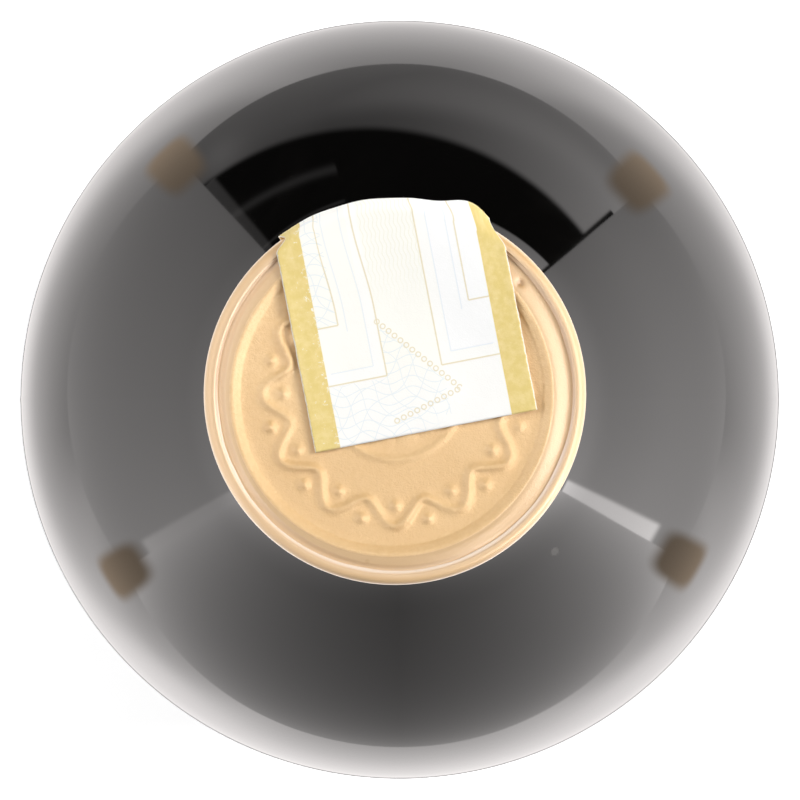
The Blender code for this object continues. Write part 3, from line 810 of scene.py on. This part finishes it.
def stripMaterial():
    # White paper with cream and cool fields, a mesh of wavy lines, gold and pale rules, rows of
    # rings, and worn gold bands along both edges.
    p = strip
    material, tree, shader = startMaterial("securityPaper", **{"Metallic": 0.0, "IOR": 1.45})
    place = stored(tree, "paperPlace")
    split = parts(tree, place)
    across, along = split["X"], split["Y"]
    aside = calc(tree, "ABSOLUTE", across)
    onLeft = calc(tree, "LESS_THAN", across, 0.0)

    def cornerRules(at, start, finish, width):
        # Two rules that meet: one upright at a place across, one level at a place along.
        return largest(tree, rule(tree, leant, along, at, width, start, p["farEnd"]),
                       rule(tree, along, leant, start, width, at, finish))

    def waves(turnDeg, pitch, swing, swingPitch, width):
        # Wavy parallel lines: the place is turned, pushed sideways by a sine, and folded.
        turned = addNode(tree, "ShaderNodeMapping", {
            "Vector": place, "Rotation": (0.0, 0.0, math.radians(turnDeg))}).outputs["Vector"]
        split = parts(tree, turned)
        push = times(tree, calc(tree, "SINE", times(tree, split["X"], swingPitch)), swing)
        fold = calc(tree, "PINGPONG", plus(tree, split["Y"], push), pitch)
        return addNode(tree, "ShaderNodeMapRange", {
            "Value": fold, "From Min": width, "From Max": width * 0.3}).outputs["Result"]

    paper = mixColour(tree, noise(tree, place, 0.35, 3.0), *p["paperTones"])
    middle = times(tree, softStep(tree, aside, 2.4, 2.1), softStep(tree, along, 2.0, 7.0))
    tint = mixColour(tree, times(tree, middle, 0.75), paper, p["creamTone"])
    inFrame = times(tree, calc(tree, "GREATER_THAN", aside, p["paleFrame"][0]),
                    calc(tree, "GREATER_THAN", along, p["paleFrame"][1]))
    tint = mixColour(tree, times(tree, inFrame, onLeft, 0.5), tint, p["creamTone"])
    tint = mixColour(tree, times(tree, inFrame, minus(tree, 1.0, onLeft), 0.6), tint, p["coolTone"])

    mesh = largest(tree, waves(8.0, 0.42, 0.30, 1.7, 0.055), waves(63.0, 0.62, 0.35, 1.3, 0.05),
                   waves(-38.0, 0.70, 0.4, 1.1, 0.05))
    lower = times(tree, softStep(tree, along, 5.0, 4.6), softStep(tree, across, 2.6, -1.0))
    leftPanel = times(tree, calc(tree, "LESS_THAN", across, -5.35), calc(tree, "GREATER_THAN", along, 9.7))
    underChain = softStep(tree, plus(tree, across, times(tree, along, 0.86)), 6.0, 5.4)
    wedge = times(tree, underChain, softStep(tree, aside, 2.3, 2.2), calc(tree, "GREATER_THAN", along, 1.0))
    meshZone = calc(tree, "MINIMUM", plus(tree, plus(tree, lower, leftPanel), wedge), 1.0)
    tint = mixColour(tree, times(tree, mesh, meshZone, 0.42), tint, p["meshInk"])
    threads = times(tree, waves(90.0, 0.17, 0.07, 5.5, 0.05), softStep(tree, aside, 2.3, 2.1),
                    softStep(tree, along, 9.0, 15.0))
    tint = mixColour(tree, times(tree, threads, 0.40), tint, p["threadInk"])

    # Towards the fold the left frames lean half a millimetre towards the middle of the paper.
    lean = times(tree, softStep(tree, along, 10.5, 17.5), softStep(tree, aside, 6.6, 5.5), onLeft, 0.5)
    leant = minus(tree, aside, lean)
    pale = largest(tree, cornerRules(*p["paleFrame"], p["paleRuleWidth"]),
                   rule(tree, leant, along, p["paleRule"][0], p["paleRuleWidth"], p["paleRule"][1], p["farEnd"]))
    tint = mixColour(tree, times(tree, pale, 0.40), tint, p["paleInk"])
    chain = [(*point, 0.0) for point in p["ringChain"]]
    gold = largest(tree, *[cornerRules(*values, p["goldRule"]) for values in p["goldFrames"]],
                   *[rings(tree, place, start, finish, p) for start, finish in zip(chain, chain[1:])])
    tint = mixColour(tree, times(tree, gold, 0.72), tint, p["goldInk"])

    bands = softStep(tree, aside, p["bandInner"], p["bandInner"] + 0.07)
    flow = noise(tree, place, 1.3, 5.0, Roughness=0.65)
    bandTone = mixColour(tree, softStep(tree, flow, 0.35, 0.7), *p["bandTones"])
    tint = mixColour(tree, bands, tint, bandTone)
    chip = noise(tree, place, 2.6, 8.0, Roughness=0.75, Distortion=0.6)
    # The left band is worn most, above all along its inner edge.
    wornZone = times(tree, onLeft, plus(tree, times(tree, softStep(tree, aside, 7.7, 7.0), 0.065), 0.045))
    wear = times(tree, bands, softStep(tree, plus(tree, chip, wornZone), 0.665, 0.70))
    wear = largest(tree, wear, softStep(tree, plus(tree, aside, times(tree, chip, 0.25)), 9.02, 9.10))
    tint = mixColour(tree, times(tree, wear, 0.85), tint, p["wornTone"])
    tree.links.new(tint, shader.inputs["Base Color"])
    fibres = grainOn(tree, place, 9.0, 1.6, 1.0)
    tree.links.new(minus(tree, 0.78, times(tree, bands, 0.22)), shader.inputs["Roughness"])
    addBump(tree, shader, times(tree, fibres["Height"], 0.012 * mm))
    return material


def makeSealStrip():
    # The strip's surface, given the paper's thickness outwards.
    points, place = stripSurface()
    piece = gridPiece("sealStrip", points, vectors={"paperPlace": place}, sharpDeg=80.0, merge=False)
    thicken(piece, strip["thickness"])
    dress(piece, stripMaterial(), "seal_paper", "seal_strip")


makeSealStrip()


# The front label.

label = dict(
    width=86.0 * mm, baseZ=42.0 * mm, topZ=142.0 * mm, corner=2.5 * mm, gap=0.06 * mm, thickness=0.13 * mm,
    columns=150, rows=150,
    # Print in millimetres from the label's middle: rules as (inset, width), rings, a lozenge.
    rules=((3.0, 0.55), (4.3, 0.2)), ringsHalf=24.0, ringsUp=-30.0, ringPitch=3.2, ringRadius=1.15, ringStroke=0.34,
    lozengeUp=14.0, lozengeHalf=13.0, lozengeSlant=1.35, lozengeLine=(0.62, 0.48),
    paperTones=((0.86, 0.82, 0.73), (0.90, 0.87, 0.80)), ink=(0.50, 0.36, 0.14),
)


def makeFrontLabel():
    # A sheet bent round the front: (r sin a, -r cos a, z), with the corners cut to quarter circles
    # by shortening each column, and a faint lift along the edges.
    p = label
    half = p["width"] / 2
    x = np.linspace(-half, half, p["columns"] + 1)[None]
    inside = np.maximum(np.abs(x) - (half - p["corner"]), 0.0)
    cut = p["corner"] - np.sqrt(np.maximum(p["corner"] ** 2 - inside**2, 0.0))
    share = np.linspace(0, 1, p["rows"] + 1)[:, None]
    z = (p["baseZ"] + cut) * (1 - share) + (p["topZ"] - cut) * share
    nearEdge = smoothStep(np.abs(x), half - 1.5 * mm, half)
    r = panelRadius + p["gap"] + 0.04 * mm * nearEdge * (0.6 + 0.4 * np.sin(z * 300))
    r = r + 0.006 * mm * noiseWave(x / mm, z / mm, 31, 8, 0.1, 0.6)
    angle = x / r
    points = np.stack([r * np.sin(angle), -r * np.cos(angle), z], axis=-1)
    middleZ = (p["baseZ"] + p["topZ"]) / 2
    place = np.stack([x / mm + 0 * z, (z - middleZ) / mm + 0 * x, 0 * z * x], axis=-1)
    piece = gridPiece("frontLabel", points, vectors={"labelPlace": place}, sharpDeg=80.0, merge=False)
    thicken(piece, p["thickness"])

    material, tree, shader = startMaterial("labelPaper", **{"Metallic": 0.0, "IOR": 1.45, "Roughness": 0.8})
    place = stored(tree, "labelPlace")
    split = parts(tree, place)
    aside, aloft = (calc(tree, "ABSOLUTE", split[axis]) for axis in ("X", "Y"))
    fibres = grainOn(tree, place, 3.2, 0.55, 1.4)
    tone = mixColour(tree, fibres["Tone"], *p["paperTones"])
    lines = []
    for inset, width in p["rules"]:
        edgeAside, edgeAloft = half / mm - inset, (p["topZ"] - p["baseZ"]) / 2 / mm - inset
        for first, second, at, end in ((aside, aloft, edgeAside, edgeAloft), (aloft, aside, edgeAloft, edgeAside)):
            lines.append(rule(tree, first, second, at, width, -1.0, end + width / 2))
    row = rings(tree, place, (-p["ringsHalf"], p["ringsUp"], 0.0), (p["ringsHalf"], p["ringsUp"], 0.0), p)
    # The lozenge is inked where slant * |x| + |y - its middle| is close to its half height.
    fromMiddle = calc(tree, "ABSOLUTE", minus(tree, split["Y"], p["lozengeUp"]))
    offLozenge = calc(tree, "ABSOLUTE", minus(
        tree, plus(tree, times(tree, aside, p["lozengeSlant"]), fromMiddle), p["lozengeHalf"]))
    ink = largest(tree, *lines, row, softStep(tree, offLozenge, *p["lozengeLine"]))
    tone = mixColour(tree, times(tree, ink, 0.9), tone, p["ink"])
    tree.links.new(tone, shader.inputs["Base Color"])
    addBump(tree, shader, times(tree, fibres["Height"], 0.02 * mm))
    dress(piece, material, "label_paper", "front_label")


makeFrontLabel()


# The studio: a pale floor, cards that only reflections see, soft lights, the camera.

studio = dict(
    floorSize=8.0, cardHeight=0.75, sideHeight=1.25, floorGlow=0.60,
    backLeft=(-0.334, 0.365), backRight=(0.420, 0.365), frontRight=(0.482, -0.273), frontLeft=(-0.445, -0.273),
    warm=(1.03, 0.99, 0.98), brown=(1.85, 1.42, 1.04), highLift=0.65,
    # Posts as (direction, half width in degrees, height), at one distance from the bottle.
    posts=((-29.7, 5.6, 0.178), (211.7, 5.4, 0.175), (42.5, 6.2, 0.180), (133.7, 5.8, 0.178)), postReach=0.275,
    postEdge=0.45, skySeen=0.97, skyMirrored=(0.95, 0.94, 0.93), skyLight=0.15,
    # Lights as (name, place, size, power, colour), all aimed at one height on the bottle's axis.
    lights=(("keyLight", (0.66, 0.22, 0.74), 0.35, 6.4, (1.0, 0.98, 0.96)),
            ("fillLight", (-0.62, 0.18, 0.76), 0.4, 2.7, (0.98, 0.98, 1.0)),
            ("topLight", (0.0, 0.55, 1.20), 0.8, 2.2, (1.0, 1.0, 1.0))), lightAim=0.28,
    cameraPlace=(0.00191, -0.00249, 0.7716), cameraTarget=(0.00005, -0.00004, 0.188), lens=266.5,
)


def glowCard(name, corners, glow, steps=(120, 90), tint=(1.0, 1.0, 1.0), softEdge=0.0):
    # A card between four corners, (1-a)(1-b) c0 + a (1-b) c1 + a b c2 + (1-a) b c3, that glows by
    # a function of its place and is seen in reflections alone.
    a = np.linspace(0, 1, steps[0])[None, :, None]
    b = np.linspace(0, 1, steps[1])[:, None, None]
    c0, c1, c2, c3 = (np.asarray(c, float)[None, None] for c in corners)
    points = (1 - a) * (1 - b) * c0 + a * (1 - b) * c1 + a * b * c2 + (1 - a) * b * c3
    light = glow(points[..., 0], points[..., 1], points[..., 2])[..., None] * np.asarray(tint)
    fromMiddle = (((2 * a - 1) ** 4 + (2 * b - 1) ** 4) ** 0.25)[..., 0]
    cover = 1 - smoothStep(fromMiddle, 1 - softEdge, 1.0) if softEdge else np.ones(points.shape[:2])
    card = gridPiece(name, points, vectors={"glow": light}, values={"cover": cover}, merge=False)
    material = bpy.data.materials.new(name + "Glow")
    material.use_nodes = True
    tree = material.node_tree
    tree.nodes.clear()
    shade = stored(tree, "glow")
    shine = addNode(tree, "ShaderNodeEmission", {"Color": shade})
    end = addNode(tree, "ShaderNodeOutputMaterial")
    cover = stored(tree, "cover", "Fac")
    clear = addNode(tree, "ShaderNodeBsdfTransparent")
    blend = addNode(tree, "ShaderNodeMixShader", {0: cover, 1: clear.outputs[0], 2: shine.outputs[0]})
    tree.links.new(blend.outputs[0] if softEdge else shine.outputs[0], end.inputs["Surface"])
    card.data.materials.append(material)
    card.visible_camera = card.visible_diffuse = card.visible_shadow = card.visible_transmission = False
    return card


def aboveGlass(z):
    # A smooth step that starts over the heights that the glass mirrors to the camera.
    return smoothStep(z, 0.46, 0.60)


def backGlow(x, y, z):
    # A parabola of x in dim grey up to a slanted edge, dark above it, plus bells and smooth steps
    # for a few dim bars at the left.
    edge = 0.224 + 0.215 * x
    grey = (0.98 + 3.0 * x + 2.2 * x**2) * (0.66 + 0.34 * smoothStep(z, 0.02, 0.14))
    grey = np.maximum(grey, 0.72) + 0.35 * hill(x, -0.27, 0.05) * hill(z, 0.12, 0.06)
    grey = grey * (1 - 0.34 * smoothStep(z, 0.13, 0.20) * hill(x, -0.02, 0.16))
    lit = grey * (1 - smoothStep(z, edge - 0.013, edge + 0.011)) * (1 - smoothStep(x, 0.400, 0.410) * (z > 0.17))
    bars = 0.25 * hill(z, 0.305, 0.012) * (x < -0.10) + 0.42 * smoothStep(-x, 0.300, 0.312) * (z > 0.16)
    return lit + bars + 0.02


def frontGlow(x, y, z):
    # Constant + |x| + x^2, so dimmest in the middle, plus a bell near the floor. Above what the
    # glass mirrors it is brighter at the right, for the capsule.
    level = 0.86 + 3.0 * np.abs(x) + 12.0 * x**2 + 0.5 * x + 0.6 * np.exp(-z / 0.06) * hill(x, 0.0, 0.2)
    return level * (1 + 2.0 * smoothStep(x, 0.0, 0.22) * aboveGlass(z))


def rightGlow(x, y, z):
    # A line in y times smooth steps of z: brighter towards the front and upwards, with a bright
    # gap at the front edge.
    wall = (3.2 - 3.4 * y) * (0.76 + 0.30 * smoothStep(z, 0.0, 0.28)) * (1 + studio["highLift"] * aboveGlass(z))
    gap = smoothStep(-y, 0.222, 0.236) * smoothStep(z, 0.135, 0.165)
    return wall * (1 - gap) + 9.8 * gap


def leftGlow(x, y, z):
    # As the right card, dimmer and with a fainter gap.
    wall = (2.40 - 2.5 * y) * (0.84 + 0.26 * smoothStep(z, 0.0, 0.35))
    gap = smoothStep(-y, 0.232, 0.246) * smoothStep(z, 0.120, 0.150)
    return wall * (1 - gap) + 4.3 * gap


def floorGlow(x, y, z):
    # Smooth steps of the distance from the axis, of x and of -y: dark at the foot as a painted contact shadow,
    # brighter outwards and most to the front.
    reach = np.hypot(x, y)
    level = 1.15 + 0.55 * smoothStep(reach, 0.06, 0.24) + 0.35 * smoothStep(x, 0.1, 0.4)
    level = level + 0.38 * hill(np.abs(x), 0.125, 0.05)
    level = level + 1.0 * smoothStep(-y, 0.02, 0.17) * (0.75 + 1.1 * np.minimum(np.abs(x), 0.3))
    return level * (0.06 + 0.94 * smoothStep(reach, 0.058, 0.082))


def postGlow(x, y, z):
    # A quarter dimmer at the top than at the floor, by a smooth step.
    return 0.75 + 0.25 * smoothStep(0.17 - z, 0.0, 0.17)


def makeStudio():
    # The floor that the camera sees, the cards, the sky and the lights.
    s = studio
    half = s["floorSize"] / 2
    floor = gridPiece("floor", np.array(
        [[(-half, -half, 0.0), (half, -half, 0.0)], [(-half, half, 0.0), (half, half, 0.0)]]), merge=False)
    floor.data.materials.append(startMaterial("paleFloor", **{
        "Base Color": (0.93, 0.93, 0.93, 1.0), "Roughness": 0.9,
        "Emission Color": (1.0, 1.0, 1.0, 1.0), "Emission Strength": s["floorGlow"]})[0])
    floor.visible_glossy = False

    def wall(name, start, finish, top, glow):
        glowCard(name, [(*start, 0), (*finish, 0), (*finish, top), (*start, top)], glow, (260, 200), s["warm"])

    wall("backCard", s["backLeft"], s["backRight"], s["cardHeight"], backGlow)
    wall("rightCard", s["backRight"], s["frontRight"], s["sideHeight"], rightGlow)
    wall("frontCard", s["frontRight"], s["frontLeft"], s["cardHeight"], frontGlow)
    wall("leftCard", s["frontLeft"], s["backLeft"], s["sideHeight"], leftGlow)
    low = 0.0005
    glowCard("floorCard", [(-0.5, -0.32, low), (0.5, -0.32, low), (0.5, 0.42, low), (-0.5, 0.42, low)],
             floorGlow, (501, 371), s["warm"])
    for number, (direction, halfDeg, top) in enumerate(s["posts"]):
        start, finish = ((s["postReach"] * math.cos(math.radians(direction + side * halfDeg)),
                          s["postReach"] * math.sin(math.radians(direction + side * halfDeg))) for side in (-1, 1))
        glowCard("postCard%d" % number, [(*start, low), (*finish, low), (*finish, top), (*start, top)],
                 postGlow, (32, 32), s["brown"], s["postEdge"])

    world = bpy.data.worlds.new("softRoom")
    bpy.context.scene.world = world
    world.use_nodes = True
    tree = world.node_tree
    background = tree.nodes["Background"]
    path = addNode(tree, "ShaderNodeLightPath")
    seen = mixColour(tree, path.outputs["Is Camera Ray"], s["skyMirrored"], (s["skySeen"],) * 3)
    sky = mixColour(tree, path.outputs["Is Diffuse Ray"], seen, (s["skyLight"],) * 3)
    tree.links.new(sky, background.inputs["Color"])

    for name, place, size, power, colour in s["lights"]:
        data = bpy.data.lights.new(name, "AREA")
        data.size = size
        data.energy = power
        data.color = colour
        light = bpy.data.objects.new(name, data)
        bpy.context.scene.collection.objects.link(light)
        light.location = place
        aim = np.array([0.0, 0.0, s["lightAim"]]) - np.array(place)
        flat = math.hypot(aim[0], aim[1])
        light.rotation_euler = (math.atan2(flat, -aim[2]), 0.0, math.atan2(aim[1], aim[0]) - math.pi / 2)
        light.visible_camera = False
        light.visible_glossy = False


def makeCamera():
    # High above the bottle and looking down, a touch off its axis, with the photograph's up at +Y.
    place = np.array(studio["cameraPlace"])
    aim = np.array(studio["cameraTarget"]) - place
    data = bpy.data.cameras.new("camera")
    data.lens = studio["lens"]
    data.sensor_width = 36.0
    data.clip_start = 0.01
    data.clip_end = 50.0
    camera = bpy.data.objects.new("camera", data)
    bpy.context.scene.collection.objects.link(camera)
    camera.location = place
    camera.rotation_euler = (math.atan2(aim[1], -aim[2]), math.atan2(-aim[0], -aim[2]), 0.0)
    bpy.context.scene.camera = camera


makeStudio()
makeCamera()
bpy.context.scene.view_settings.view_transform = "Standard"
print("studio built")
